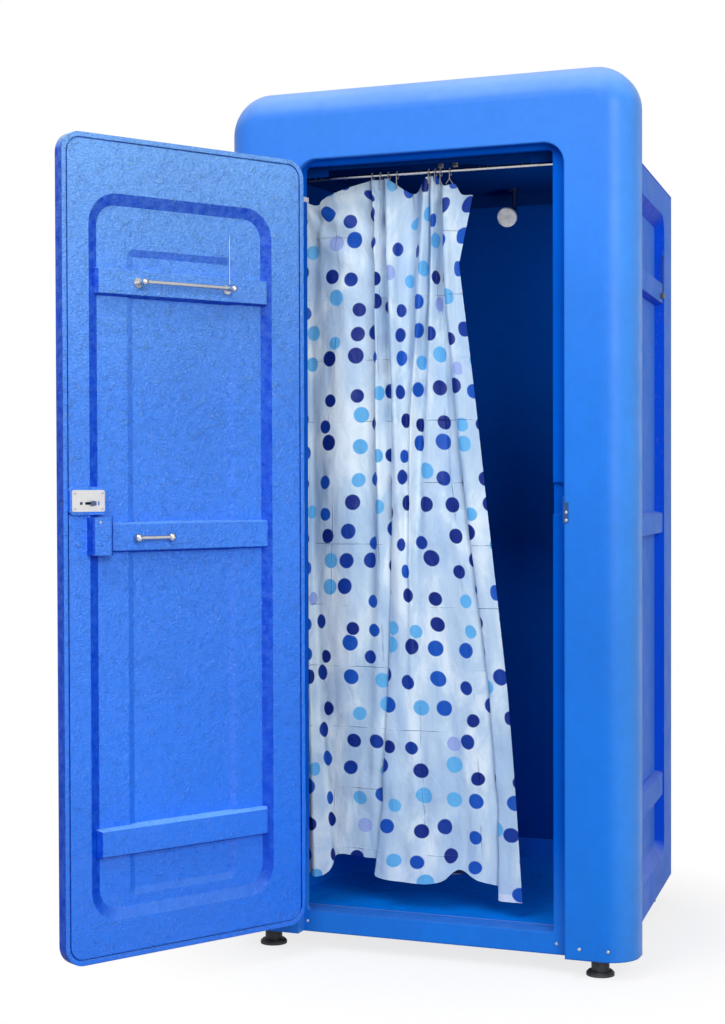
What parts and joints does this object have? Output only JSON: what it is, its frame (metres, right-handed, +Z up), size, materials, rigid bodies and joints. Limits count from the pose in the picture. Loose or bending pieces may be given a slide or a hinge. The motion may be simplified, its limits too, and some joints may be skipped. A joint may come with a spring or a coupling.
{
  "type": "portable shower cabin",
  "caption": "Moulded blue portable shower cabin with an open door, a dotted curtain on a rail, a ceiling rose and levelling feet.",
  "frame": {"origin": "on the ground, midway between the side walls and midway between the front and back faces of the cabin", "axes": "+Z up, +Y into the cabin through the doorway, +X to the right of somebody who faces the doorway"},
  "size_m": [1.2618, 1.6779, 2.3],
  "materials": {
    "blue_laminate": "gelcoat, satin gloss",
    "door_laminate": "gelcoat, satin gloss",
    "black_steel": "black paint",
    "steel": "polished to satin",
    "black_plastic": "matt",
    "white_plastic": "gloss",
    "beige_plastic": "matt",
    "brass": "satin",
    "curtain_cloth": "thin coated cloth, slight sheen",
    "black_rubber": "matt"
  },
  "bodies": {
    "cabin": {"front_shell": "blue_laminate", "bulkhead": "blue_laminate", "left_wall": "blue_laminate", "right_wall": "blue_laminate", "left_battens": "blue_laminate", "right_battens": "blue_laminate", "back_wall": "blue_laminate", "back_battens": "blue_laminate", "roof_cap": "blue_laminate", "roof_vent": "blue_laminate", "floor_tray": "blue_laminate", "base_frame": "black_steel", "drain_grate": "steel", "waste_pipe": "black_plastic", "hinge_frame_leaves": "steel", "hinge_pins": "steel", "strike_plate": "steel", "strike_screws": "steel", "shell_screws": "steel", "curtain_rod": "steel", "rod_flanges": "steel", "ceiling_clips": "beige_plastic", "corner_peg": "white_plastic", "shower_arm": "steel", "supply_pipe": "steel", "water_inlet": "brass", "pipe_clips": "steel", "valve_body": "steel", "side_hook": "black_plastic", "curtain": "curtain_cloth"},
    "door": {"door_skin": "door_laminate", "door_panel": "door_laminate", "door_battens": "door_laminate", "catch_block": "door_laminate", "lock_plate": "steel", "door_screws": "steel", "pull_handle": "steel", "outer_pull": "steel", "towel_rail": "steel", "hanger_wire": "steel", "hinge_door_leaves": "steel"},
    "bolt": {"lock_bolt": "steel"},
    "rose": {"shower_rose": "white_plastic"},
    "lever": {"valve_lever": "steel"},
    "hook1": {"hook_1": "beige_plastic"},
    "hook2": {"hook_2": "beige_plastic"},
    "hook3": {"hook_3": "beige_plastic"},
    "hook4": {"hook_4": "beige_plastic"},
    "hook5": {"hook_5": "beige_plastic"},
    "hook6": {"hook_6": "beige_plastic"},
    "hook7": {"hook_7": "beige_plastic"},
    "hook8": {"hook_8": "beige_plastic"},
    "foot_front_left_body": {"foot_front_left": "black_rubber"},
    "foot_front_right_body": {"foot_front_right": "black_rubber"},
    "foot_back_left_body": {"foot_back_left": "black_rubber"},
    "foot_back_right_body": {"foot_back_right": "black_rubber"}
  },
  "joints": [
    {"name": "door_hinge", "type": "hinge", "parent": "cabin", "child": "door", "pos_m": [-0.3455, -0.506, 1.168], "axis": [0, 0, -1], "range_deg": [-119.6, 50]},
    {"name": "bolt_slide", "type": "slide", "parent": "door", "child": "bolt", "axis": [-0.4939, -0.8695, 0], "range_m": [0, 0.016]},
    {"name": "rose_tilt", "type": "hinge", "parent": "cabin", "child": "rose", "pos_m": [0, 0.29873, 2.04855], "axis": [1, 0, 0], "range_deg": [-20, 20]},
    {"name": "lever_turn", "type": "hinge", "parent": "cabin", "child": "lever", "pos_m": [-0.18, 0.398, 1.15], "axis": [0, 1, 0], "range_deg": [0, 90]},
    {"name": "curtain_draw", "type": "slide", "parent": "cabin", "child": "hook8", "axis": [1, 0, 0], "range_m": [-0.14, 0.2], "deforming": ["curtain"]},
    {"name": "hook1_slide", "type": "slide", "parent": "cabin", "child": "hook1", "axis": [1, 0, 0], "range_m": [-0.06502, 0.09288]},
    {"name": "hook2_slide", "type": "slide", "parent": "cabin", "child": "hook2", "axis": [1, 0, 0], "range_m": [-0.07701, 0.11]},
    {"name": "hook3_slide", "type": "slide", "parent": "cabin", "child": "hook3", "axis": [1, 0, 0], "range_m": [-0.08832, 0.12617]},
    {"name": "hook4_slide", "type": "slide", "parent": "cabin", "child": "hook4", "axis": [1, 0, 0], "range_m": [-0.09966, 0.14236]},
    {"name": "hook5_slide", "type": "slide", "parent": "cabin", "child": "hook5", "axis": [1, 0, 0], "range_m": [-0.1325, 0.18928]},
    {"name": "hook6_slide", "type": "slide", "parent": "cabin", "child": "hook6", "axis": [1, 0, 0], "range_m": [-0.13627, 0.19467]},
    {"name": "hook7_slide", "type": "slide", "parent": "cabin", "child": "hook7", "axis": [1, 0, 0], "range_m": [-0.13847, 0.19781]},
    {"name": "foot_front_left_screw", "type": "slide", "parent": "cabin", "child": "foot_front_left_body", "axis": [0, 0, -1], "range_m": [0, 0.02]},
    {"name": "foot_front_right_screw", "type": "slide", "parent": "cabin", "child": "foot_front_right_body", "axis": [0, 0, -1], "range_m": [0, 0.02]},
    {"name": "foot_back_left_screw", "type": "slide", "parent": "cabin", "child": "foot_back_left_body", "axis": [0, 0, -1], "range_m": [0, 0.02]},
    {"name": "foot_back_right_screw", "type": "slide", "parent": "cabin", "child": "foot_back_right_body", "axis": [0, 0, -1], "range_m": [0, 0.02]}
  ],
  "couplings": [
    {"joint": "hook1_slide", "follows": "curtain_draw", "ratio": 0.46431},
    {"joint": "hook2_slide", "follows": "curtain_draw", "ratio": 0.54993},
    {"joint": "hook3_slide", "follows": "curtain_draw", "ratio": 0.63078},
    {"joint": "hook4_slide", "follows": "curtain_draw", "ratio": 0.71173},
    {"joint": "hook5_slide", "follows": "curtain_draw", "ratio": 0.94634},
    {"joint": "hook6_slide", "follows": "curtain_draw", "ratio": 0.97327},
    {"joint": "hook7_slide", "follows": "curtain_draw", "ratio": 0.98898}
  ]
}
